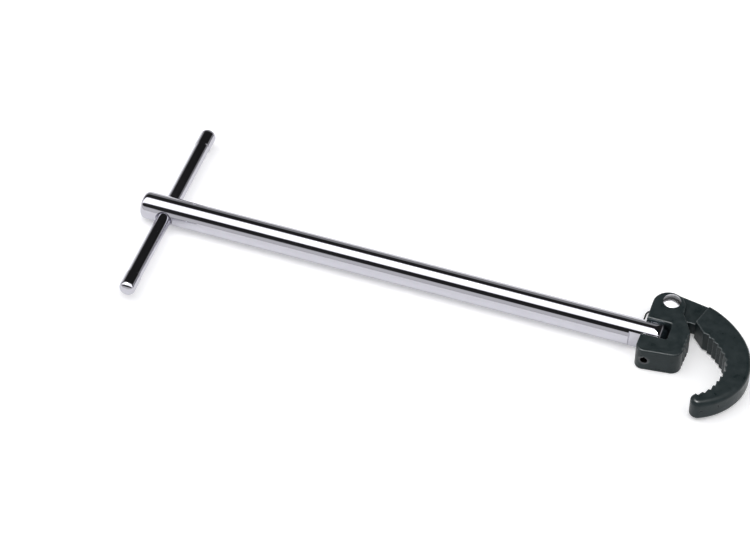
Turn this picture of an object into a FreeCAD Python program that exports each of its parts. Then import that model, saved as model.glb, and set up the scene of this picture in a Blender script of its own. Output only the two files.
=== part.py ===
"""Basin wrench: a chromed bar with a sliding tommy bar and a swinging head with a sprung hook jaw.

Frame: millimetres, +Z up. The wrench lies on the plane z = 0. +X runs along the shaft from the
handle end to the head, +Y towards the jaw rivet. The origin is under the middle of the whole
wrench. Each body is drawn about its own working axis and then placed.
"""
import FreeCAD, Part
import math
import os

import Sketcher

DIMENSIONS = {
    # places in the wrench's frame
    "handle_end_x": -142.3,
    "axis_height": 6.35,
    # shaft
    "shaft_dia": 12.7,
    "tommy_hole_from_end": 12.2,
    "tommy_hole_dia": 7.16,
    "tommy_hole_flare": 0.5,
    "handle_end_round": 2.6,
    "pin_from_end": 239.0,
    "shoulder_to_pin": 9.6,
    "tongue_thickness": 8.6,
    # tommy bar
    "tommy_dia": 7.0,
    "tommy_length": 103.0,
    "tommy_end_dia": 7.5,
    "tommy_end_length": 10.0,
    "tommy_end_dome": 2.6,
    "tommy_flat_share": 0.35,
    "dome_bulge_back": 0.36,
    "dome_bulge_out": 0.80,
    # head block, drawn about the roll pin
    "block_height": 12.6,
    "block_left": 4.1,
    "front_left_x": 4.7,
    "front_right_x": 15.35,
    "cheek_x": 16.3,
    "cheek_round": 4.0,
    "front_left_y": 14.7,
    "front_right_y": 12.3,
    "front_left_round": 3.5,
    "front_right_round": 4.5,
    "cheek_y": 2.0,
    "neck_corner_x": 10.6,
    "neck_corner_y": 12.0,
    "neck_corner_round": 1.5,
    "lug_radius": 7.2,
    "lug_x": 3.1,
    "lug_y": 14.9,
    "tongue_slot_width": 9.2,
    "tongue_slot_end": 7.4,
    "tongue_slot_round": 1.0,
    "clevis_gap": 7.2,
    "clevis_floor_y": 9.7,
    "edge_round": 0.6,
    "block_tooth_pitch": 2.6,
    "block_tooth_depth": 0.8,
    "block_tooth_half_width": 1.04,
    "block_tooth_count": 4,
    "block_tooth_first_y": -7.6,
    # roll pin
    "pin_dia": 4.5,
    "pin_clearance": 0.16,
    "pin_hole_length": 45.4,
    "pin_hole_middle": 5.0,
    "pin_wall": 0.55,
    "pin_slit": 0.8,
    "pin_front_y": -14.1,
    "pin_back_y": 8.4,
    # jaw rivet, placed from the roll pin
    "rivet_x": 3.9,
    "rivet_y": 17.0,
    "rivet_dia": 5.0,
    "rivet_head_dia": 7.9,
    "rivet_head_rim": 0.2,
    "rivet_head_height": 1.4,
    "rivet_tail_dia": 6.6,
    # hook jaw, drawn about the rivet
    "hook_thickness": 11.0,
    "hook_edge_round": 2.1,
    "neck_thickness": 6.9,
    "hub_radius": 6.8,
    "hub_hole_dia": 5.12,
    "hook_tooth_pitch": 3.0,
    "hook_tooth_depth": 0.85,
    "spring_recess_dia": 9.2,
    "spring_recess_depth": 2.2,
    "leg_relief_depth": 1.0,
    # jaw spring, drawn about the rivet: the lower leg goes to the block, the upper one to the hub
    "wire_dia": 0.8,
    "wire_clearance": 0.1,
    "coil_radius": 3.7,
    "coil_pitch": 0.95,
    "coil_turns": 1.25,
    "coil_low_z": -3.05,
    "lower_leg_angle": 120.0,
    "lower_leg_run": 8.0,
    "loop_radius": 3.0,
    "loop_run": 5.4,
    "return_radius": 1.5,
    "anchor_depth": 2.1,
    "upper_leg_run": 0.6,
    "upper_leg_bend": 0.6,
    "upper_leg_rise": 1.1,
}

# outer edge of the hook from the neck step to the tip: radius and turn of each tangent arc
HOOK_OUTER_START = (15.9, 4.1)
HOOK_OUTER_HEADING = -14.0
HOOK_OUTER_ARCS = ((20.3, 10.0), (43.0, 25.8), (30.6, 28.1), (24.6, 37.2), (28.1, 39.0), (3.6, 115.0))
# inner edge: plain from the neck to the first tooth, then toothed to the tip
HOOK_NECK_CORNER = (12.6, -7.0)
HOOK_TEETH_START = (17.4, -12.1)
HOOK_TEETH_HEADING = -28.0
HOOK_TEETH_ARCS = ((34.5, 23.0), (13.1, 50.0), (47.0, 10.0), (12.3, 41.6))
# step from the thin neck to the full jaw, a straight line across it: outer and inner end
NECK_STEP_LINE = ((17.7, 8.0), (10.95, -12.0))
# shares of a tooth's pitch where its long face starts, its root lies and its steep face ends
TOOTH_SHARES = (0.04, 0.8, 0.96)
# sector of the hub that is relieved for the spring's lower leg, in degrees
LEG_RELIEF_ANGLES = (100, 130, 160, 190)
# distances under this are nothing, and a rim's middle is found to within the second
TOUCHING = 0.01
RIM_REACH = 0.3

doc = FreeCAD.newDocument("basin_wrench")
sheet = doc.addObject("Spreadsheet::Sheet", "Dimensions")
for row, (alias, value) in enumerate(DIMENSIONS.items(), start=1):
    sheet.set("A%d" % row, alias)
    sheet.set("B%d" % row, str(value))
    sheet.setAlias("B%d" % row, alias)
doc.recompute()


def size(alias):
    return float(sheet.get(alias))


def cell(formula):
    """A formula in cell names, with the sheet's name put before each of them."""
    words = formula.replace("(", " ( ").replace(")", " ) ").split()
    return " ".join("Dimensions." + word if word in DIMENSIONS else word for word in words)


def new_body(name, x="0", y="0", z="axis_height"):
    body = doc.addObject("PartDesign::Body", name)
    body.Label = name
    for axis, formula in (("x", x), ("y", y), ("z", z)):
        body.setExpression("Placement.Base." + axis, cell(formula))
    return body


def new_sketch(body, name, plane_role, offset="0"):
    """A sketch on one of the body's own origin planes, moved along its normal by offset."""
    sketch = body.newObject("Sketcher::SketchObject", name)
    plane = next(p for p in body.Origin.OriginFeatures if p.Role == plane_role)
    sketch.AttachmentSupport = [(plane, "")]
    sketch.MapMode = "FlatFace"
    sketch.setExpression("AttachmentOffset.Base.z", cell(offset))
    return sketch


def add_circle(sketch, diameter, x="0", y="0"):
    index = sketch.addGeometry(Part.Circle(FreeCAD.Vector(1, 1, 0), FreeCAD.Vector(0, 0, 1), 1))
    for kind, args, formula in (
        ("Diameter", (index, 1), diameter),
        ("DistanceX", (-1, 1, index, 3, 1), x),
        ("DistanceY", (-1, 1, index, 3, 1), y),
    ):
        number = sketch.addConstraint(Sketcher.Constraint(kind, *args))
        sketch.setExpression("Constraints[%d]" % number, cell(formula))


def add_loop(sketch, curves):
    """Closed outline of lines and arcs, each starting where the last one ends."""
    indices = [sketch.addGeometry(curve) for curve in curves]
    for index in indices:
        sketch.addConstraint(Sketcher.Constraint("Block", index))


def polygon(points):
    vectors = [FreeCAD.Vector(x, y, 0) for x, y in points]
    return [Part.LineSegment(a, b) for a, b in zip(vectors, vectors[1:] + vectors[:1])]


def add_pad(body, sketch, length):
    pad = body.newObject("PartDesign::Pad", sketch.Name + "_pad")
    pad.Profile = sketch
    pad.Midplane = True
    pad.setExpression("Length", cell(length))
    doc.recompute()
    return pad


def add_pocket(body, sketch, length):
    """Cuts the sketch out of the body, half the length to each side of the sketch's plane."""
    before = body.Shape.Volume
    pocket = body.newObject("PartDesign::Pocket", sketch.Name + "_pocket")
    pocket.Profile = sketch
    pocket.Midplane = True
    pocket.setExpression("Length", cell(length))
    doc.recompute()
    if body.Shape.Volume >= before:
        raise RuntimeError(pocket.Name + " cut nothing")
    return pocket


def add_revolution(body, sketch, axis_name):
    revolution = body.newObject("PartDesign::Revolution", sketch.Name + "_revolution")
    revolution.Profile = sketch
    revolution.ReferenceAxis = (sketch, [axis_name])
    revolution.Angle = 360
    doc.recompute()
    return revolution


def dress(body, kind, name, edge_names, formula):
    """A fillet or a chamfer on named edges of the body as it stands."""
    feature = body.newObject("PartDesign::" + kind, name)
    feature.Base = (body.Tip if body.Tip != feature else feature.BaseFeature, edge_names)
    feature.setExpression("Radius" if kind == "Fillet" else "Size", cell(formula))
    doc.recompute()
    return feature


def edges_where(shape, test):
    return ["Edge%d" % n for n, edge in enumerate(shape.Edges, start=1) if test(edge)]


def rounded_corner(before, corner, after, radius):
    """The two tangent points and the arc of a corner rounded by radius."""
    corner_v = FreeCAD.Vector(*corner, 0)
    to_before = (FreeCAD.Vector(*before, 0) - corner_v).normalize()
    to_after = (FreeCAD.Vector(*after, 0) - corner_v).normalize()
    half = to_before.getAngle(to_after) / 2
    start = corner_v + to_before * (radius / math.tan(half))
    end = corner_v + to_after * (radius / math.tan(half))
    centre = corner_v + (to_before + to_after).normalize() * (radius / math.sin(half))
    middle = centre + (corner_v - centre).normalize() * radius
    return start, end, Part.Arc(start, middle, end)


def arc_chain(start, heading_deg, arcs):
    """Arcs that turn right, each tangent to the last: curves, end point and end heading."""
    point = FreeCAD.Vector(*start, 0)
    heading = math.radians(heading_deg)
    curves = []
    for radius, turn_deg in arcs:
        centre = point + FreeCAD.Vector(math.sin(heading), -math.cos(heading), 0) * radius
        places = []
        for share in (0.5, 1.0):
            angle = heading - math.radians(turn_deg) * share
            places.append(centre - FreeCAD.Vector(math.sin(angle), -math.cos(angle), 0) * radius)
        curves.append(Part.Arc(point, places[0], places[1]))
        point = places[1]
        heading -= math.radians(turn_deg)
    return curves, point, heading


def tooth_notches(curves, pitch, depth):
    """Saw-tooth notches, one for each pitch along the curves, cut into their left side: a long
    face runs in to the root, and a short steep one comes back out."""
    edges = [curve.toShape() for curve in curves]
    spare = sum(edge.Length for edge in edges) % pitch
    count = round((sum(edge.Length for edge in edges) - spare) / pitch)
    notches = []
    for number in range(count):
        at = [place_along(edges, spare / 2 + (number + share) * pitch) for share in TOOTH_SHARES]
        sides = [FreeCAD.Vector(-t.y, t.x, 0) for _, t in at]
        outside = [at[0][0] - sides[0] * depth, at[2][0] - sides[2] * depth]
        corners = [outside[0], at[0][0], at[1][0] + sides[1] * depth, at[2][0], outside[1]]
        notches.append([(corner.x, corner.y) for corner in corners])
    return notches


def place_along(edges, distance):
    for edge in edges:
        if distance <= edge.Length:
            parameter = edge.getParameterByLength(distance)
            return edge.valueAt(parameter), edge.tangentAt(parameter)
        distance -= edge.Length
    last = edges[-1]
    return last.valueAt(last.LastParameter), last.tangentAt(last.LastParameter)


# ---------------------------------------------------------------- shaft
def make_shaft():
    """Round bar, drawn from its handle end along +X."""
    body = new_body("shaft", x="handle_end_x")
    bar = new_sketch(body, "shaft_section", "YZ_Plane")
    add_circle(bar, "shaft_dia")
    pad = add_pad(body, bar, "pin_from_end + shaft_dia / 2")
    pad.Midplane = False
    doc.recompute()

    ends = edges_where(body.Shape, lambda e: e.BoundBox.XLength < TOUCHING and abs(
        e.CenterOfMass.x - size("handle_end_x")) < TOUCHING)
    dress(body, "Fillet", "handle_end_fillet", ends, "handle_end_round")

    cheeks = new_sketch(body, "tongue_cheeks", "XY_Plane")
    left = size("pin_from_end") - size("shoulder_to_pin")
    right = size("pin_from_end") + size("shaft_dia")
    for side in (-1, 1):
        inner = side * size("tongue_thickness") / 2
        outer = side * size("shaft_dia")
        add_loop(cheeks, polygon([(left, inner), (right, inner), (right, outer), (left, outer)]))
    add_pocket(body, cheeks, "2 * shaft_dia")

    nose = new_sketch(body, "tongue_nose", "XZ_Plane")
    radius = size("shaft_dia") / 2
    centre_x = size("pin_from_end")
    top = FreeCAD.Vector(centre_x, radius, 0)
    tip = FreeCAD.Vector(centre_x + radius, 0, 0)
    bottom = FreeCAD.Vector(centre_x, -radius, 0)
    far = 2 * radius
    corners = [
        bottom,
        FreeCAD.Vector(centre_x, -far, 0),
        FreeCAD.Vector(centre_x + far, -far, 0),
        FreeCAD.Vector(centre_x + far, far, 0),
        FreeCAD.Vector(centre_x, far, 0),
        top,
    ]
    outline = [Part.LineSegment(a, b) for a, b in zip(corners, corners[1:])]
    add_loop(nose, outline + [Part.Arc(top, tip, bottom)])
    add_pocket(body, nose, "2 * shaft_dia")

    holes = new_sketch(body, "cross_holes", "XZ_Plane")
    add_circle(holes, "tommy_hole_dia", x="tommy_hole_from_end")
    add_circle(holes, "pin_dia + pin_clearance", x="pin_from_end")
    add_pocket(body, holes, "2 * shaft_dia")

    rims = edges_where(body.Shape, lambda e: e.BoundBox.XLength < size("tommy_hole_dia") + RIM_REACH
                       and abs(e.BoundBox.Center.x - size("handle_end_x")
                               - size("tommy_hole_from_end")) < RIM_REACH
                       and e.BoundBox.ZLength > size("tommy_hole_dia") / 3)
    dress(body, "Chamfer", "tommy_hole_rims", rims, "tommy_hole_flare")
    return body


# ---------------------------------------------------------------- tommy bar
def make_tommy_bar():
    """Sliding bar along Y, a little thicker at both ends so that it stays in the shaft."""
    body = new_body("tommy_bar", x="handle_end_x + tommy_hole_from_end")
    profile = new_sketch(body, "tommy_profile", "YZ_Plane")
    thin = size("tommy_dia") / 2
    thick = size("tommy_end_dia") / 2
    half = size("tommy_length") / 2
    collar = half - size("tommy_end_length")
    dome = size("tommy_end_dome")
    lead = thick - thin
    flat = thick * size("tommy_flat_share")
    points = [
        (-half, 0), (-half, flat), (-half + dome, thick), (-collar - lead, thick), (-collar, thin),
        (collar, thin), (collar + lead, thick), (half - dome, thick), (half, flat), (half, 0),
    ]
    outline = polygon(points)
    for number, sign in ((1, -1), (7, 1)):
        start, end = outline[number].StartPoint, outline[number].EndPoint
        back = dome * size("dome_bulge_back")
        bulge = FreeCAD.Vector(sign * (half - back), thick * size("dome_bulge_out"), 0)
        outline[number] = Part.Arc(start, bulge, end)
    add_loop(profile, outline)
    add_revolution(body, profile, "H_Axis")
    return body


# ---------------------------------------------------------------- jaw spring
def turned(point, heading_deg, radius, turn_deg):
    """Arc that turns left from a point and a heading in the plane: arc, end point, end heading."""
    heading = math.radians(heading_deg)
    centre = point + FreeCAD.Vector(-math.sin(heading), math.cos(heading), 0) * radius
    places = []
    for share in (0.5, 1.0):
        angle = heading + math.radians(turn_deg) * share
        places.append(centre - FreeCAD.Vector(-math.sin(angle), math.cos(angle), 0) * radius)
    return Part.Arc(point, places[0], places[1]), places[1], heading_deg + turn_deg


def along(point, heading_deg, distance):
    heading = math.radians(heading_deg)
    return point + FreeCAD.Vector(math.cos(heading), math.sin(heading), 0) * distance


def lower_leg_curves():
    """From the coil out of the block's left side, round a loop and back to the anchor hole."""
    angle = math.radians(size("lower_leg_angle"))
    heading = size("lower_leg_angle") + 90
    start = FreeCAD.Vector(math.cos(angle), math.sin(angle), 0) * size("coil_radius")
    start.z = size("coil_low_z")
    out = along(start, heading, size("lower_leg_run"))
    first, low, heading = turned(out, heading, size("loop_radius"), 270 - heading)
    lower = along(low, heading, size("loop_run"))
    second, back, heading = turned(lower, heading, size("return_radius"), 90)
    end = along(back, heading, size("anchor_depth"))
    return [Part.LineSegment(start, out), first, Part.LineSegment(low, lower), second,
            Part.LineSegment(back, end)]


def spring_anchor_point():
    return lower_leg_curves()[-1].EndPoint


def upper_leg_point():
    """Where the upper leg stands in the hub."""
    top_angle = size("lower_leg_angle") - 360 * size("coil_turns")
    top = along(FreeCAD.Vector(0, 0, 0), top_angle, size("coil_radius"))
    return along(top, top_angle - 90, size("upper_leg_run") + size("upper_leg_bend"))


def make_jaw_spring():
    """Torsion spring in the hub's recess. A helix and its two legs are one swept wire."""
    radius = size("coil_radius")
    turns = size("coil_turns")
    low_z = size("coil_low_z")
    rise = size("coil_pitch") * turns
    helix = Part.makeHelix(size("coil_pitch"), rise, radius)
    helix = helix.mirror(FreeCAD.Vector(0, 0, 0), FreeCAD.Vector(0, 1, 0))
    helix.rotate(FreeCAD.Vector(0, 0, 0), FreeCAD.Vector(0, 0, 1), size("lower_leg_angle"))
    helix.translate(FreeCAD.Vector(0, 0, low_z))

    top_angle = size("lower_leg_angle") - 360 * turns
    top = along(FreeCAD.Vector(0, 0, low_z + rise), top_angle, radius)
    heading = top_angle - 90
    bend = size("upper_leg_bend")
    bend_start = along(top, heading, size("upper_leg_run"))
    bend_middle = along(bend_start, heading, bend * math.sin(math.pi / 4))
    bend_middle.z += bend * (1 - math.cos(math.pi / 4))
    bend_end = along(bend_start, heading, bend)
    bend_end.z += bend
    leg_end = bend_end + FreeCAD.Vector(0, 0, size("upper_leg_rise"))
    upper = [Part.LineSegment(top, bend_start), Part.Arc(bend_start, bend_middle, bend_end),
             Part.LineSegment(bend_end, leg_end)]

    edges = [curve.toShape() for curve in lower_leg_curves() + upper] + helix.Edges
    path = Part.Wire(Part.__sortEdges__(edges))
    section = Part.Wire(Part.makeCircle(size("wire_dia") / 2, leg_end, FreeCAD.Vector(0, 0, 1)))
    spring = doc.addObject("Part::Feature", "jaw_spring")
    spring.Label = "jaw_spring"
    spring.Shape = path.makePipeShell([section], True, True)
    for axis, formula in (("x", "handle_end_x + pin_from_end + rivet_x"), ("y", "rivet_y"),
                          ("z", "axis_height")):
        spring.setExpression("Placement.Base." + axis, cell(formula))
    doc.recompute()
    return spring


# ---------------------------------------------------------------- head block
def block_outline():
    left = -size("block_left")
    lug = FreeCAD.Vector(size("lug_x"), size("lug_y"), 0)
    radius = size("lug_radius")
    waist = (left, 0)
    front_left = (-size("front_left_x"), -size("front_left_y"))
    front_right = (size("front_right_x"), -size("front_right_y"))
    cheek = (size("cheek_x"), size("cheek_y"))
    neck = (size("neck_corner_x"), size("neck_corner_y"))
    lug_left = FreeCAD.Vector(left, lug.y, 0)
    lug_right = FreeCAD.Vector(lug.x + radius, lug.y, 0)
    lug_top = lug + FreeCAD.Vector(0, radius, 0)
    a0, a1, front_left_arc = rounded_corner(waist, front_left, front_right,
                                            size("front_left_round"))
    b0, b1, front_right_arc = rounded_corner(front_left, front_right, cheek,
                                             size("front_right_round"))
    c0, c1, cheek_arc = rounded_corner(front_right, cheek, neck, size("cheek_round"))
    d0, d1, neck_arc = rounded_corner(cheek, neck, (lug_right.x, lug_right.y),
                                      size("neck_corner_round"))
    return [
        Part.LineSegment(lug_left, FreeCAD.Vector(*waist, 0)),
        Part.LineSegment(FreeCAD.Vector(*waist, 0), a0), front_left_arc,
        Part.LineSegment(a1, b0), front_right_arc,
        Part.LineSegment(b1, c0), cheek_arc,
        Part.LineSegment(c1, d0), neck_arc,
        Part.LineSegment(d1, lug_right), Part.Arc(lug_right, lug_top, lug_left),
    ]


def make_head_block():
    """Forged head, drawn about the roll pin: a slot for the tongue and a gap for the jaw's neck."""
    body = new_body("head_block", x="handle_end_x + pin_from_end")
    outline = new_sketch(body, "block_outline", "XY_Plane")
    add_loop(outline, block_outline())
    add_pad(body, outline, "block_height")

    slot = new_sketch(body, "tongue_slot", "XY_Plane")
    half_slot = size("tongue_slot_width") / 2
    outside = -2 * size("block_left")
    end = size("tongue_slot_end")
    add_loop(slot, polygon([(outside, -half_slot), (end, -half_slot),
                            (end, half_slot), (outside, half_slot)]))
    add_pocket(body, slot, "2 * block_height")
    end_x = body.Placement.Base.x + end
    corners = edges_where(body.Shape, lambda e: e.BoundBox.ZLength > 1
                          and abs(e.CenterOfMass.x - end_x) < TOUCHING)
    dress(body, "Fillet", "slot_corners", corners, "tongue_slot_round")
    rims = edges_where(body.Shape, lambda e: e.BoundBox.ZLength < TOUCHING)
    dress(body, "Fillet", "block_edges", rims, "edge_round")

    gap = new_sketch(body, "clevis_gap_area", "XY_Plane")
    floor_y = size("clevis_floor_y")
    far = 3 * size("cheek_x")
    add_loop(gap, polygon([(-far, floor_y), (far, floor_y), (far, far), (-far, far)]))
    add_pocket(body, gap, "clevis_gap")

    pin_hole = new_sketch(body, "pin_hole", "XZ_Plane", "pin_hole_middle")
    add_circle(pin_hole, "pin_dia")
    add_pocket(body, pin_hole, "pin_hole_length")

    rivet_hole = new_sketch(body, "rivet_hole", "XY_Plane")
    add_circle(rivet_hole, "rivet_dia", x="rivet_x", y="rivet_y")
    add_pocket(body, rivet_hole, "2 * block_height")
    bottom = size("axis_height") - size("block_height") / 2
    tail_rim = edges_where(body.Shape, lambda e: abs(e.BoundBox.ZMax - bottom) < TOUCHING
                           and abs(e.BoundBox.XLength - size("rivet_dia")) < TOUCHING)
    dress(body, "Chamfer", "rivet_countersink", tail_rim, "( rivet_tail_dia - rivet_dia ) / 2")

    anchor = new_sketch(body, "spring_anchor", "YZ_Plane", "0 - block_left")
    end = spring_anchor_point()
    add_circle(anchor, "wire_dia + wire_clearance", x="rivet_y + %.4f" % end.y, y="coil_low_z")
    add_pocket(body, anchor, "2 * anchor_depth + 1")

    teeth = new_sketch(body, "block_teeth", "XY_Plane")
    pitch = size("block_tooth_pitch")
    depth = size("block_tooth_depth")
    half_width = size("block_tooth_half_width")
    lean = ((size("cheek_x") - size("front_right_x"))
            / (size("cheek_y") + size("front_right_y")))
    for number in range(int(size("block_tooth_count"))):
        y = size("block_tooth_first_y") + number * pitch
        side = size("front_right_x") + (y + size("front_right_y")) * lean
        add_loop(teeth, polygon([(side + depth, y - half_width), (side, y - half_width),
                                 (side - depth, y), (side, y + half_width),
                                 (side + depth, y + half_width)]))
    add_pocket(body, teeth, "2 * block_height")
    return body


# ---------------------------------------------------------------- roll pin
def make_roll_pin():
    """Slotted spring pin along Y, pressed into the block and running in the tongue."""
    body = new_body("roll_pin", x="handle_end_x + pin_from_end")
    section = new_sketch(body, "pin_section", "XZ_Plane", "0 - ( pin_front_y + pin_back_y ) / 2")
    outer = size("pin_dia") / 2
    inner = outer - size("pin_wall")
    half_slit = math.asin(size("pin_slit") / 2 / outer)
    angles = (math.pi / 2 + half_slit, 5 * math.pi / 2 - half_slit)
    ends = {}
    for name, radius in (("outer", outer), ("inner", inner)):
        ends[name] = [FreeCAD.Vector(radius * math.cos(a), radius * math.sin(a), 0) for a in angles]
        ends[name].append(FreeCAD.Vector(0, -radius, 0))
    add_loop(section, [
        Part.Arc(ends["outer"][0], ends["outer"][2], ends["outer"][1]),
        Part.LineSegment(ends["outer"][1], ends["inner"][1]),
        Part.Arc(ends["inner"][1], ends["inner"][2], ends["inner"][0]),
        Part.LineSegment(ends["inner"][0], ends["outer"][0]),
    ])
    add_pad(body, section, "pin_back_y - pin_front_y")
    return body


# ---------------------------------------------------------------- jaw rivet
def make_jaw_rivet():
    """Domed head on top, shank through the clevis and the hub, tail peened flush underneath."""
    body = new_body("jaw_rivet", x="handle_end_x + pin_from_end + rivet_x", y="rivet_y")
    profile = new_sketch(body, "rivet_profile", "XZ_Plane")
    shank = size("rivet_dia") / 2
    head = size("rivet_head_dia") / 2
    top = size("block_height") / 2
    rim = top + size("rivet_head_rim")
    crown = top + size("rivet_head_height")
    rise = crown - rim
    dome_radius = (head ** 2 + rise ** 2) / (2 * rise)
    half_angle = math.asin(head / dome_radius) / 2
    middle = FreeCAD.Vector(dome_radius * math.sin(half_angle),
                            crown - dome_radius * (1 - math.cos(half_angle)), 0)
    tail = size("rivet_tail_dia") / 2
    cone_top = -top + tail - shank
    points = [(0, -top), (tail, -top), (shank, cone_top), (shank, top), (head, top), (head, rim),
              (0, crown)]
    outline = polygon(points)
    outline[5] = Part.Arc(outline[5].StartPoint, middle, outline[5].EndPoint)
    add_loop(profile, outline)
    add_revolution(body, profile, "V_Axis")
    return body


# ---------------------------------------------------------------- hook jaw
def hook_edges():
    """The jaw's outer edge, its inner edge from the neck on, and the last point of each."""
    outer, tip, _ = arc_chain(HOOK_OUTER_START, HOOK_OUTER_HEADING, HOOK_OUTER_ARCS)
    teeth, inner_end, _ = arc_chain(HOOK_TEETH_START, HOOK_TEETH_HEADING, HOOK_TEETH_ARCS)
    plain = Part.LineSegment(FreeCAD.Vector(*HOOK_NECK_CORNER, 0),
                             FreeCAD.Vector(*HOOK_TEETH_START, 0))
    return outer, [plain] + teeth, tip, inner_end


def make_hook_jaw():
    """Curved toothed jaw, drawn about the rivet: full thickness outside the neck step."""
    body = new_body("hook_jaw", x="handle_end_x + pin_from_end + rivet_x", y="rivet_y")
    outer, inner, tip, inner_end = hook_edges()
    start = inner[0].StartPoint
    hub = size("hub_radius")
    heel = FreeCAD.Vector(0, -hub, 0)
    hub_top = FreeCAD.Vector(0, hub, 0)
    hub_left = FreeCAD.Vector(-hub, 0, 0)
    shoulder = outer[0].StartPoint
    outline = [Part.Arc(heel, hub_left, hub_top), Part.LineSegment(hub_top, shoulder)]
    outline += outer + [Part.LineSegment(tip, inner_end)]
    outline += reversed(inner)
    outline.append(Part.LineSegment(start, heel))
    profile = new_sketch(body, "hook_outline", "XY_Plane")
    add_loop(profile, outline)
    add_pad(body, profile, "hook_thickness")

    half = size("hook_thickness") / 2
    outer_shapes = [curve.toShape() for curve in outer]
    offset = body.Placement.Base

    def is_outer_rim(edge):
        if edge.BoundBox.ZLength > 0.01:
            return False
        middle = edge.valueAt((edge.FirstParameter + edge.LastParameter) / 2) - offset
        spot = Part.Vertex(FreeCAD.Vector(middle.x, middle.y, 0))
        return min(spot.distToShape(shape)[0] for shape in outer_shapes) < TOUCHING

    rims = edges_where(body.Shape, is_outer_rim)
    dress(body, "Fillet", "hook_outer_rounds", rims, "hook_edge_round")

    outer_end, inner_side = NECK_STEP_LINE
    clear = -3 * size("hub_radius")
    for name, side in (("neck_step_top", 1), ("neck_step_bottom", -1)):
        step = new_sketch(body, name, "XY_Plane", "%d * ( neck_thickness + hook_thickness ) / 4" % side)
        add_loop(step, polygon([outer_end, inner_side, (clear, inner_side[1]), (clear, outer_end[1])]))
        add_pocket(body, step, "( hook_thickness - neck_thickness ) / 2")

    hole = new_sketch(body, "hub_hole", "XY_Plane")
    add_circle(hole, "hub_hole_dia")
    add_pocket(body, hole, "2 * hook_thickness")

    recess = new_sketch(body, "spring_recess", "XY_Plane", "0 - neck_thickness / 2")
    add_circle(recess, "spring_recess_dia")
    add_pocket(body, recess, "2 * spring_recess_depth")

    relief = new_sketch(body, "spring_leg_relief", "XY_Plane", "0 - neck_thickness / 2")
    reach = 1.5 * size("hub_radius")
    add_loop(relief, polygon([(0, 0)] + [
        (reach * math.cos(math.radians(a)), reach * math.sin(math.radians(a)))
        for a in LEG_RELIEF_ANGLES]))
    add_pocket(body, relief, "2 * leg_relief_depth")

    leg_hole = new_sketch(body, "spring_leg_hole", "XY_Plane")
    leg = upper_leg_point()
    add_circle(leg_hole, "wire_dia + wire_clearance", x="%.4f" % leg.x, y="%.4f" % leg.y)
    add_pocket(body, leg_hole, "neck_thickness / 2 + spring_recess_depth")

    teeth = new_sketch(body, "hook_teeth", "XY_Plane")
    for notch in tooth_notches(inner[1:], size("hook_tooth_pitch"), size("hook_tooth_depth")):
        add_loop(teeth, polygon(notch))
    add_pocket(body, teeth, "2 * hook_thickness")
    return body


MAKERS = (make_shaft, make_tommy_bar, make_head_block, make_roll_pin, make_jaw_rivet,
          make_hook_jaw, make_jaw_spring)

sub_parts = [make() for make in MAKERS]
doc.recompute()

for item in doc.Objects:
    if "Invalid" in item.State or "Error" in item.State:
        raise RuntimeError("%s failed: %s" % (item.Name, item.State))
for part in sub_parts:
    if part.Shape.isNull() or not part.Shape.isValid():
        raise RuntimeError(part.Label + " has no valid shape")

os.makedirs("parts", exist_ok=True)
for part in sub_parts:
    part.Shape.exportStep("parts/%s.step" % part.Label)
    box = part.Shape.BoundBox
    print("%-12s volume %9.1f  x %7.2f %7.2f  y %7.2f %7.2f  z %6.2f %6.2f" % (
        part.Label, part.Shape.Volume, box.XMin, box.XMax, box.YMin, box.YMax, box.ZMin, box.ZMax))
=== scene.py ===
"""Looks of a basin wrench: chromed bars, a blackened swivel head with a sprung hook jaw, and a
plain studio."""
import math

import bmesh
import bpy
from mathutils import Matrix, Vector


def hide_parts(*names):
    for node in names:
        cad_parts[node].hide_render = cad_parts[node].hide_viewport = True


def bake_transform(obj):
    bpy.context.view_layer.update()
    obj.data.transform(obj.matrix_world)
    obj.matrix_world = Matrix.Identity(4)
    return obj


bl_info = {
    "name": "Basin Wrench Finisher",
    "version": (1, 0, 0),
    "blender": (4, 5, 0),
    "location": "View3D > Sidebar > Basin Wrench",
    "description": "Finishes a packed basin wrench: chrome, black oxide, spring and studio",
    "category": "Object",
}

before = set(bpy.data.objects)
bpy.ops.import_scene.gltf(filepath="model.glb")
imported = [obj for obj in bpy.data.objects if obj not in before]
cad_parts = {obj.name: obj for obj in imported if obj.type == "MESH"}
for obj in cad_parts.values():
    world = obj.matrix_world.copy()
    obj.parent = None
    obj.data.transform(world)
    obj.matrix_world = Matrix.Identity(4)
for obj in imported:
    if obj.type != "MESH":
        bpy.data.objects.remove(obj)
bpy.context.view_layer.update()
MM = 0.001

# sockets of a Mix node that mixes colours
COLOUR_A = 6
COLOUR_B = 7
COLOUR_OUT = 2
# axis that each bar lies along
ALONG_X = 0
ALONG_Y = 1

# widths of the patterns, as they show on the surface
SMUDGE_WIDTH = 9 * MM
RING_SPACING = 0.8 * MM
CLOUD_WIDTH = 4 * MM
PIT_WIDTH = 0.45 * MM
BITE_WIDTH = 1.1 * MM
DINT_WIDTH = 1.4 * MM
SCUFF_WIDTH = 0.3 * MM
DRAWING_WIDTH = 0.5 * MM
# how much the coordinates are shrunk, which stretches the pattern: down the bar for smudges, and
# round it for rings
SMUDGE_SHRINK = 0.35
RING_SHRINK = 0.04
# share of the directions into the metal that meet no other face within the wear's width, where
# the rubbing starts and where it is full
WEAR_STARTS = 0.90
WEAR_FULL = 0.68
# how far a finish's roughness strays under and over its setting
OXIDE_SMOOTHER = 0.05
OXIDE_ROUGHER = 0.07
RIVET_ROUGHER = 0.14
SPRING_SMOOTHER = 0.06
SPRING_ROUGHER = 0.1
# vertices of the spring that are closer than this are merged
WELD_DISTANCE = 0.001 * MM
# the studio's light is this much stronger in blue
COOL_CAST = 1.01
# of the camera, in millimetres
SENSOR_WIDTH = 36.0


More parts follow.
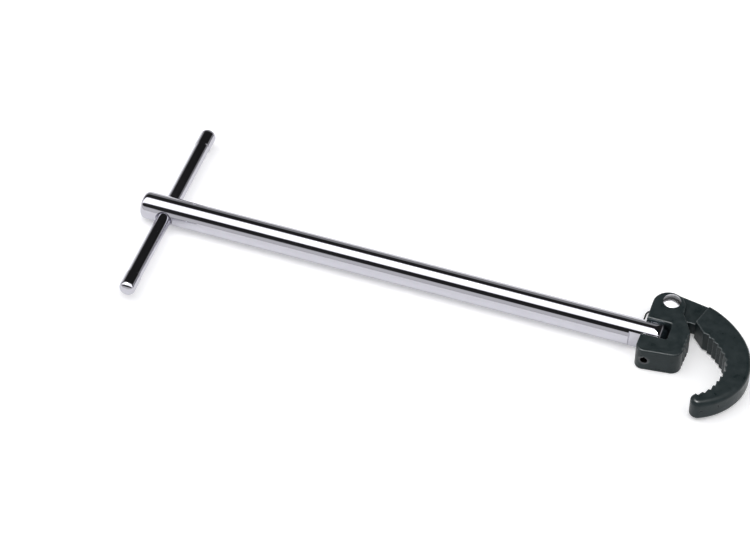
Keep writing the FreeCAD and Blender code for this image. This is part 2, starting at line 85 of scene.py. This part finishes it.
# ---------------------------------------------------------------- colours and nodes
def linear(hex_colour):
    """sRGB hex such as "C8C8CC" to a linear RGBA colour."""
    channels = []
    for start in (0, 2, 4):
        value = int(hex_colour[start:start + 2], 16) / 255
        channels.append(value / 12.92 if value <= 0.04045 else ((value + 0.055) / 1.055) ** 2.4)
    return (*channels, 1.0)


def add_node(tree, kind, links=None, **settings):
    """Adds a node, sets its properties, and sets or links its inputs by name or number."""
    node = tree.nodes.new(kind)
    for name, value in settings.items():
        setattr(node, name, value)
    for name, value in (links or {}).items():
        if isinstance(value, bpy.types.NodeSocket):
            tree.links.new(value, node.inputs[name])
        else:
            node.inputs[name].default_value = value
    return node


def new_material(name):
    """A material with only a Principled shader and its output. Returns it, its tree and shader."""
    material = bpy.data.materials.new(name)
    material.use_nodes = True
    tree = material.node_tree
    tree.nodes.clear()
    shader = add_node(tree, "ShaderNodeBsdfPrincipled")
    add_node(tree, "ShaderNodeOutputMaterial", {"Surface": shader.outputs["BSDF"]})
    return material, tree, shader


def finish_with(name, material):
    """Gives a CAD node its finish."""
    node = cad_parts[name]
    if not node.material_slots:
        raise RuntimeError(name + " has no material slot")
    for slot in node.material_slots:
        slot.material = material


# ---------------------------------------------------------------- finishes
def chrome_plate(name, settings, along):
    """Bright chrome plate on ground bar: a hard mirror with a cool cast. Grinding leaves faint rings
    round the bar, which waver the reflections, and handling leaves soft smudges."""
    material, tree, shader = new_material(name)
    place = add_node(tree, "ShaderNodeTexCoord").outputs["Object"]
    # smudges, nearly three times as long down the bar as they are wide
    stretch = [1.0, 1.0, 1.0]
    stretch[along] = SMUDGE_SHRINK
    smudge_place = add_node(tree, "ShaderNodeMapping", {"Vector": place, "Scale": stretch})
    smudges = add_node(tree, "ShaderNodeTexNoise", {
        "Vector": smudge_place.outputs["Vector"], "Scale": 1 / SMUDGE_WIDTH, "Detail": 5.0,
        "Roughness": 0.62})
    tone = add_node(tree, "ShaderNodeMapRange", {
        "Value": smudges.outputs["Fac"], "From Min": 0.35, "From Max": 0.75,
        "To Min": settings.plate_roughness, "To Max": settings.smudge_roughness})
    # grinding rings, much further apart than real ones so that they show
    ring_stretch = [RING_SHRINK, RING_SHRINK, RING_SHRINK]
    ring_stretch[along] = 1.0
    ring_place = add_node(tree, "ShaderNodeMapping", {"Vector": place, "Scale": ring_stretch})
    rings = add_node(tree, "ShaderNodeTexNoise", {
        "Vector": ring_place.outputs["Vector"], "Scale": 1 / RING_SPACING, "Detail": 3.0})
    ground = add_node(tree, "ShaderNodeBump", {
        "Height": rings.outputs["Fac"], "Strength": 0.06, "Distance": 0.02 * MM})
    ripple = add_node(tree, "ShaderNodeBump", {
        "Height": smudges.outputs["Fac"], "Normal": ground.outputs["Normal"],
        "Strength": 0.12, "Distance": 0.05 * MM})
    tint = add_node(tree, "ShaderNodeMix", {
        "Factor": smudges.outputs["Fac"], COLOUR_A: linear("B7B6BD"),
        COLOUR_B: linear(settings.plate_colour)}, data_type="RGBA")
    tree.links.new(tint.outputs[COLOUR_OUT], shader.inputs["Base Color"])
    tree.links.new(tone.outputs["Result"], shader.inputs["Roughness"])
    tree.links.new(ripple.outputs["Normal"], shader.inputs["Normal"])
    shader.inputs["Metallic"].default_value = 1.0
    return material


def black_oxide(name, settings):
    """Black oxide on a drop forging: near black with a green-blue cast, satin, with the fine pits of
    shot blasting and a slow unevenness from the die. Corners are rubbed through to grey steel."""
    material, tree, shader = new_material(name)
    place = add_node(tree, "ShaderNodeTexCoord").outputs["Object"]
    clouds = add_node(tree, "ShaderNodeTexNoise", {
        "Vector": place, "Scale": 1 / CLOUD_WIDTH, "Detail": 4.0, "Roughness": 0.6})
    # blasting pits, coarser than real ones so that they show
    pits = add_node(tree, "ShaderNodeTexNoise", {
        "Vector": place, "Scale": 1 / PIT_WIDTH, "Detail": 3.0, "Roughness": 0.7})
    bite = add_node(tree, "ShaderNodeTexVoronoi", {"Vector": place, "Scale": 1 / BITE_WIDTH})
    # rubbed corners: where there is little metal behind the surface, within the width of the wear
    depth = add_node(tree, "ShaderNodeAmbientOcclusion", {"Distance": settings.wear_width},
                     samples=12, inside=True, only_local=True)
    worn = add_node(tree, "ShaderNodeMapRange", {
        "Value": depth.outputs["AO"], "From Min": WEAR_STARTS, "From Max": WEAR_FULL,
        "To Min": 0.0, "To Max": 1.0})
    patchy = add_node(tree, "ShaderNodeMapRange", {
        "Value": pits.outputs["Fac"], "From Min": 0.35, "From Max": 0.6,
        "To Min": 0.25, "To Max": 1.0})
    wear = add_node(tree, "ShaderNodeMath", {
        0: worn.outputs["Result"], 1: patchy.outputs["Result"]}, operation="MULTIPLY")
    share = add_node(tree, "ShaderNodeMath", {
        0: wear.outputs[0], 1: settings.wear_amount}, operation="MULTIPLY")
    coat = add_node(tree, "ShaderNodeMix", {
        "Factor": clouds.outputs["Fac"], COLOUR_A: linear(settings.oxide_dark),
        COLOUR_B: linear(settings.oxide_light)}, data_type="RGBA")
    colour = add_node(tree, "ShaderNodeMix", {
        "Factor": share.outputs[0], COLOUR_A: coat.outputs[COLOUR_OUT],
        COLOUR_B: linear(settings.steel_colour)}, data_type="RGBA")
    sheen = add_node(tree, "ShaderNodeMapRange", {
        "Value": clouds.outputs["Fac"], "From Min": 0.3, "From Max": 0.7,
        "To Min": settings.oxide_roughness - OXIDE_SMOOTHER,
        "To Max": settings.oxide_roughness + OXIDE_ROUGHER})
    # every corner is slightly broken, so that it catches the light
    broken = add_node(tree, "ShaderNodeBevel", {"Radius": settings.corner_radius}, samples=8)
    grain = add_node(tree, "ShaderNodeBump", {
        "Height": pits.outputs["Fac"], "Normal": broken.outputs["Normal"], "Strength": 0.25,
        "Distance": 0.06 * MM})
    blast = add_node(tree, "ShaderNodeBump", {
        "Height": bite.outputs["Distance"], "Normal": grain.outputs["Normal"],
        "Strength": 0.2, "Distance": 0.08 * MM})
    swell = add_node(tree, "ShaderNodeBump", {
        "Height": clouds.outputs["Fac"], "Normal": blast.outputs["Normal"],
        "Strength": 0.35, "Distance": 0.25 * MM})
    tree.links.new(colour.outputs[COLOUR_OUT], shader.inputs["Base Color"])
    tree.links.new(share.outputs[0], shader.inputs["Metallic"])
    tree.links.new(sheen.outputs["Result"], shader.inputs["Roughness"])
    tree.links.new(swell.outputs["Normal"], shader.inputs["Normal"])
    shader.inputs["Specular IOR Level"].default_value = settings.oxide_gloss
    return material


def plated_rivet(settings):
    """Zinc-nickel plate on a cold-headed rivet: bright, a little softer than chrome, with small
    dints from the heading tool."""
    material, tree, shader = new_material("plated_rivet_steel")
    place = add_node(tree, "ShaderNodeTexCoord").outputs["Object"]
    dints = add_node(tree, "ShaderNodeTexNoise", {
        "Vector": place, "Scale": 1 / DINT_WIDTH, "Detail": 3.0, "Roughness": 0.55})
    # scuffs, coarser than real ones so that they show
    scuffs = add_node(tree, "ShaderNodeTexNoise", {
        "Vector": place, "Scale": 1 / SCUFF_WIDTH, "Detail": 2.0})
    tone = add_node(tree, "ShaderNodeMapRange", {
        "Value": scuffs.outputs["Fac"], "From Min": 0.3, "From Max": 0.7,
        "To Min": settings.rivet_roughness,
        "To Max": settings.rivet_roughness + RIVET_ROUGHER})
    beaten = add_node(tree, "ShaderNodeBump", {
        "Height": dints.outputs["Fac"], "Strength": 0.5, "Distance": 0.12 * MM})
    tint = add_node(tree, "ShaderNodeMix", {
        "Factor": dints.outputs["Fac"], COLOUR_A: linear("A9A9AD"),
        COLOUR_B: linear(settings.rivet_colour)}, data_type="RGBA")
    tree.links.new(tint.outputs[COLOUR_OUT], shader.inputs["Base Color"])
    tree.links.new(tone.outputs["Result"], shader.inputs["Roughness"])
    tree.links.new(beaten.outputs["Normal"], shader.inputs["Normal"])
    shader.inputs["Metallic"].default_value = 1.0
    return material


def oiled_spring_steel(name, colour, roughness):
    """Hardened spring steel with a film of oil: dark grey metal, with fine drawing marks."""
    material, tree, shader = new_material(name)
    place = add_node(tree, "ShaderNodeTexCoord").outputs["Object"]
    # drawing marks, coarser than real ones so that they show
    marks = add_node(tree, "ShaderNodeTexNoise", {
        "Vector": place, "Scale": 1 / DRAWING_WIDTH, "Detail": 4.0, "Roughness": 0.65})
    tint = add_node(tree, "ShaderNodeMix", {
        "Factor": marks.outputs["Fac"], COLOUR_A: linear("1E1E20"),
        COLOUR_B: linear(colour)}, data_type="RGBA")
    tone = add_node(tree, "ShaderNodeMapRange", {
        "Value": marks.outputs["Fac"], "From Min": 0.3, "From Max": 0.7,
        "To Min": roughness - SPRING_SMOOTHER, "To Max": roughness + SPRING_ROUGHER})
    drawn = add_node(tree, "ShaderNodeBump", {
        "Height": marks.outputs["Fac"], "Strength": 0.25, "Distance": 0.03 * MM})
    tree.links.new(tint.outputs[COLOUR_OUT], shader.inputs["Base Color"])
    tree.links.new(tone.outputs["Result"], shader.inputs["Roughness"])
    tree.links.new(drawn.outputs["Normal"], shader.inputs["Normal"])
    shader.inputs["Metallic"].default_value = 1.0
    return material


def matt_card(settings):
    """Matt white card for the floor: a soft white with no gloss and a little light of its own."""
    material, tree, shader = new_material("matt_white_card")
    shader.inputs["Base Color"].default_value = linear(settings.floor_colour)
    shader.inputs["Roughness"].default_value = 0.9
    shader.inputs["Specular IOR Level"].default_value = 0.1
    shader.inputs["Emission Color"].default_value = linear("FFFFFF")
    shader.inputs["Emission Strength"].default_value = settings.floor_lift
    return material


# ---------------------------------------------------------------- settings
class BarSettings(bpy.types.PropertyGroup):
    plate_colour: bpy.props.StringProperty(
        name="Plate colour", description="Chrome plate, as sRGB hex", default="C2C1C8")
    plate_roughness: bpy.props.FloatProperty(
        name="Plate roughness", description="Roughness of clean plate", default=0.035,
        min=0.0, max=1.0, subtype="FACTOR")
    smudge_roughness: bpy.props.FloatProperty(
        name="Smudge roughness", description="Roughness where the plate was handled", default=0.11,
        min=0.0, max=1.0, subtype="FACTOR")


class HeadSettings(bpy.types.PropertyGroup):
    oxide_dark: bpy.props.StringProperty(
        name="Oxide, dark", description="Darkest black oxide, as sRGB hex", default="172021")
    oxide_light: bpy.props.StringProperty(
        name="Oxide, light", description="Lightest black oxide, as sRGB hex", default="273133")
    steel_colour: bpy.props.StringProperty(
        name="Bare steel", description="Steel where corners are rubbed, as sRGB hex",
        default="8C9192")
    oxide_roughness: bpy.props.FloatProperty(
        name="Oxide roughness", description="Middle roughness of the black oxide", default=0.31,
        min=0.0, max=1.0, subtype="FACTOR")
    oxide_gloss: bpy.props.FloatProperty(
        name="Oxide gloss", description="Specular level of the oiled oxide", default=0.16,
        min=0.0, max=1.0, subtype="FACTOR")
    wear_width: bpy.props.FloatProperty(
        name="Wear width", description="How far the rubbing reaches from a corner",
        default=0.9 * MM, min=0.0, unit="LENGTH")
    corner_radius: bpy.props.FloatProperty(
        name="Corner radius", description="Radius of the broken corners", default=0.3 * MM,
        min=0.0, unit="LENGTH")
    wear_amount: bpy.props.FloatProperty(
        name="Wear", description="How much of the steel shows at the corners", default=0.22,
        min=0.0, max=1.0, subtype="FACTOR")


class FasteningSettings(bpy.types.PropertyGroup):
    rivet_colour: bpy.props.StringProperty(
        name="Rivet colour", description="Plated rivet, as sRGB hex", default="D2D3D6")
    rivet_roughness: bpy.props.FloatProperty(
        name="Rivet roughness", description="Roughness of the plated rivet", default=0.12,
        min=0.0, max=1.0, subtype="FACTOR")
    pin_colour: bpy.props.StringProperty(
        name="Pin colour", description="Roll pin steel, as sRGB hex", default="6E7072")
    pin_roughness: bpy.props.FloatProperty(
        name="Pin roughness", description="Roughness of the roll pin", default=0.32,
        min=0.0, max=1.0, subtype="FACTOR")


class SpringSettings(bpy.types.PropertyGroup):
    wire_colour: bpy.props.StringProperty(
        name="Wire colour", description="Spring wire, as sRGB hex", default="3C3D40")
    wire_roughness: bpy.props.FloatProperty(
        name="Wire roughness", description="Roughness of the spring wire", default=0.36,
        min=0.0, max=1.0, subtype="FACTOR")
    still_below: bpy.props.FloatProperty(
        name="Still below", description="Height under which the spring stays with the block",
        default=3.75 * MM, unit="LENGTH")
    turning_above: bpy.props.FloatProperty(
        name="Turning above", description="Height over which the spring turns with the jaw",
        default=4.05 * MM, unit="LENGTH")


class StageSettings(bpy.types.PropertyGroup):
    floor_size: bpy.props.FloatProperty(
        name="Floor size", description="Side of the square floor", default=9.0, min=1.0,
        unit="LENGTH")
    floor_colour: bpy.props.StringProperty(
        name="Floor colour", description="Matt card, as sRGB hex", default="F4F4F5")
    floor_lift: bpy.props.FloatProperty(
        name="Floor lift", description="Light of the card itself, which softens the shadow",
        default=0.30, min=0.0)
    box_light: bpy.props.FloatProperty(
        name="Overhead light", description="Brightness of the long soft box overhead",
        default=2.0, min=0.0)
    fill_light: bpy.props.FloatProperty(
        name="Fill light", description="Brightness of the low fill in front", default=0.80,
        min=0.0)
    key_light: bpy.props.FloatProperty(
        name="Key light", description="Strength of the small light that only glints",
        default=10.0, min=0.0)
    key_spread: bpy.props.FloatProperty(
        name="Key spread", description="Angle that the small light fills",
        default=math.radians(20.0), subtype="ANGLE")
    key_direction: bpy.props.FloatVectorProperty(
        name="Key direction", description="From the tool towards the small light", size=3,
        subtype="DIRECTION", default=(-0.21, -0.04, 0.98))
    aim: bpy.props.FloatVectorProperty(
        name="Aim", description="Point that the camera looks at", size=3, subtype="XYZ",
        default=(-31.1 * MM, 0.0, -1.0 * MM), unit="LENGTH")
    azimuth: bpy.props.FloatProperty(
        name="Azimuth", description="Camera's turn round the tool", default=math.radians(19.12),
        subtype="ANGLE")
    elevation: bpy.props.FloatProperty(
        name="Elevation", description="Camera's height as an angle",
        default=math.radians(49.05), subtype="ANGLE")
    distance: bpy.props.FloatProperty(
        name="Distance", description="From the aim to the camera", default=1230.9 * MM, min=0.1,
        unit="LENGTH")
    focal_length: bpy.props.FloatProperty(
        name="Focal length", description="Camera lens in millimetres, on a 36 mm sensor",
        default=132.0, min=1.0)


# ---------------------------------------------------------------- pieces
class BASINWRENCH_OT_bars(bpy.types.Operator):
    """Chrome plate on the shaft and the tommy bar"""
    bl_idname = "basin_wrench.bars"
    bl_label = "Finish Bars"

    def execute(self, context):
        settings = context.scene.basin_wrench_bars
        finish_with("shaft", chrome_plate("chrome_plate_shaft", settings, ALONG_X))
        finish_with("tommy_bar", chrome_plate("chrome_plate_tommy_bar", settings, ALONG_Y))
        return {"FINISHED"}


class BASINWRENCH_OT_head(bpy.types.Operator):
    """Black oxide on the head block and the hook jaw"""
    bl_idname = "basin_wrench.head"
    bl_label = "Finish Head and Jaw"

    def execute(self, context):
        settings = context.scene.basin_wrench_head
        oxide = black_oxide("black_oxide_forging", settings)
        finish_with("head_block", oxide)
        finish_with("hook_jaw", oxide)
        return {"FINISHED"}


class BASINWRENCH_OT_fastenings(bpy.types.Operator):
    """Plate on the jaw rivet, oiled steel on the roll pin"""
    bl_idname = "basin_wrench.fastenings"
    bl_label = "Finish Fastenings"

    def execute(self, context):
        settings = context.scene.basin_wrench_fastenings
        finish_with("jaw_rivet", plated_rivet(settings))
        finish_with("roll_pin", oiled_spring_steel(
            "oiled_pin_steel", settings.pin_colour, settings.pin_roughness))
        return {"FINISHED"}


class BASINWRENCH_OT_spring(bpy.types.Operator):
    """The jaw spring, welded into one smooth wire of oiled steel that takes the CAD spring's place
    """
    bl_idname = "basin_wrench.spring"
    bl_label = "Make Jaw Spring"

    def execute(self, context):
        settings = context.scene.basin_wrench_spring
        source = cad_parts["jaw_spring"]
        mesh = bpy.data.meshes.new("jaw_spring_wire")
        wire = bmesh.new()
        wire.from_mesh(source.data)
        bmesh.ops.remove_doubles(wire, verts=wire.verts, dist=WELD_DISTANCE)
        bmesh.ops.recalc_face_normals(wire, faces=wire.faces)
        for face in wire.faces:
            face.smooth = True
        wire.to_mesh(mesh)
        wire.free()
        piece = bpy.data.objects.new("jaw_spring_wire", mesh)
        context.scene.collection.objects.link(piece)
        mesh.materials.append(oiled_spring_steel(
            "drawn_spring_wire", settings.wire_colour, settings.wire_roughness))
        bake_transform(piece)
        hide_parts("jaw_spring")
        return {"FINISHED"}


class BASINWRENCH_OT_stage(bpy.types.Operator):
    """A white floor, a long soft box overhead, a low fill, a small glinting light and the camera"""
    bl_idname = "basin_wrench.stage"
    bl_label = "Set Stage"

    def execute(self, context):
        settings = context.scene.basin_wrench_stage
        self.lay_floor(context, settings)
        self.light_world(context, settings)
        self.hang_key_light(context, settings)
        self.set_camera(context, settings)
        context.scene.view_settings.view_transform = "Standard"
        return {"FINISHED"}

    def lay_floor(self, context, settings):
        mesh = bpy.data.meshes.new("floor")
        card = bmesh.new()
        bmesh.ops.create_grid(card, x_segments=1, y_segments=1, size=settings.floor_size / 2)
        card.to_mesh(mesh)
        card.free()
        floor = bpy.data.objects.new("floor", mesh)
        context.scene.collection.objects.link(floor)
        mesh.materials.append(matt_card(settings))

    def light_world(self, context, settings):
        """Soft light that depends only on the angle round the shaft's line, as from long soft boxes
        beside and above it. The camera itself sees plain white."""
        world = bpy.data.worlds.new("soft_studio")
        context.scene.world = world
        world.use_nodes = True
        tree = world.node_tree
        tree.nodes.clear()
        towards = add_node(tree, "ShaderNodeTexCoord").outputs["Generated"]
        parts = add_node(tree, "ShaderNodeSeparateXYZ", {"Vector": towards})
        front = add_node(tree, "ShaderNodeMath", {0: parts.outputs["Y"], 1: -1.0},
                         operation="MULTIPLY")
        lean = add_node(tree, "ShaderNodeMath", {0: front.outputs[0], 1: parts.outputs["Z"]},
                        operation="ARCTAN2")
        share = add_node(tree, "ShaderNodeMapRange", {
            "Value": lean.outputs[0], "From Min": -math.pi / 2, "From Max": math.pi / 2})
        bands = add_node(tree, "ShaderNodeValToRGB", {"Fac": share.outputs["Result"]})
        box, fill = settings.box_light, settings.fill_light
        # angle from straight up towards the front, in degrees, and the light from there
        stops = ((-90, 0.42), (-64, 0.36), (-60, 0.02), (-25, 0.02), (-21, box), (27, box),
                 (30, 0.02), (57, 0.03), (60, fill), (90, fill))
        lowest, highest = stops[0][0], stops[-1][0]
        elements = bands.color_ramp.elements
        while len(elements) < len(stops):
            elements.new(0.5)  # its place is set below
        for element, (angle, light) in zip(elements, stops):
            element.position = (angle - lowest) / (highest - lowest)
            element.color = (light, light, light * COOL_CAST, 1.0)
        studio = add_node(tree, "ShaderNodeBackground", {"Color": bands.outputs["Color"]})
        plain = add_node(tree, "ShaderNodeBackground", {"Color": linear("FFFFFF")})
        seen = add_node(tree, "ShaderNodeLightPath").outputs["Is Camera Ray"]
        both = add_node(tree, "ShaderNodeMixShader", {
            0: seen, 1: studio.outputs[0], 2: plain.outputs[0]})
        add_node(tree, "ShaderNodeOutputWorld", {"Surface": both.outputs[0]})

    def hang_key_light(self, context, settings):
        """A small light above the front, which shows in gloss but lights no matt surface."""
        key = bpy.data.objects.new("key_light", bpy.data.lights.new("key_light", "SUN"))
        context.scene.collection.objects.link(key)
        key.data.energy = settings.key_light
        key.data.angle = settings.key_spread
        towards = Vector(settings.key_direction)
        key.rotation_euler = towards.to_track_quat("Z", "Y").to_euler()
        key.visible_diffuse = False

    def set_camera(self, context, settings):
        back = Vector((math.sin(settings.azimuth) * math.cos(settings.elevation),
                       -math.cos(settings.azimuth) * math.cos(settings.elevation),
                       math.sin(settings.elevation)))
        camera = bpy.data.objects.new("camera", bpy.data.cameras.new("camera"))
        context.scene.collection.objects.link(camera)
        camera.data.sensor_width = SENSOR_WIDTH
        camera.data.lens = settings.focal_length
        camera.location = Vector(settings.aim) + back * settings.distance
        camera.rotation_euler = (-back).to_track_quat("-Z", "Y").to_euler()
        context.scene.camera = camera


OPERATORS = (BASINWRENCH_OT_bars, BASINWRENCH_OT_head, BASINWRENCH_OT_fastenings,
             BASINWRENCH_OT_spring, BASINWRENCH_OT_stage)
SETTINGS = {"basin_wrench_bars": BarSettings, "basin_wrench_head": HeadSettings,
            "basin_wrench_fastenings": FasteningSettings, "basin_wrench_spring": SpringSettings,
            "basin_wrench_stage": StageSettings}


class BASINWRENCH_PT_panel(bpy.types.Panel):
    """Lists the wrench's settings and the steps that use them"""
    bl_idname = "BASINWRENCH_PT_panel"
    bl_label = "Basin Wrench"
    bl_space_type = "VIEW_3D"
    bl_region_type = "UI"
    bl_category = "Basin Wrench"

    def draw(self, context):
        for operator, group in zip(OPERATORS, SETTINGS):
            box = self.layout.box()
            settings = getattr(context.scene, group)
            for name in settings.__annotations__:
                box.prop(settings, name)
            box.operator(operator.bl_idname)


def register():
    for cls in (*SETTINGS.values(), *OPERATORS, BASINWRENCH_PT_panel):
        bpy.utils.register_class(cls)
    for name, cls in SETTINGS.items():
        setattr(bpy.types.Scene, name, bpy.props.PointerProperty(type=cls))


def unregister():
    for name in SETTINGS:
        delattr(bpy.types.Scene, name)
    for cls in reversed((*SETTINGS.values(), *OPERATORS, BASINWRENCH_PT_panel)):
        bpy.utils.unregister_class(cls)


def main():
    register()
    bpy.ops.basin_wrench.bars()
    bpy.ops.basin_wrench.head()
    bpy.ops.basin_wrench.fastenings()
    bpy.ops.basin_wrench.spring()
    bpy.ops.basin_wrench.stage()


if __name__ == "__main__":
    main()
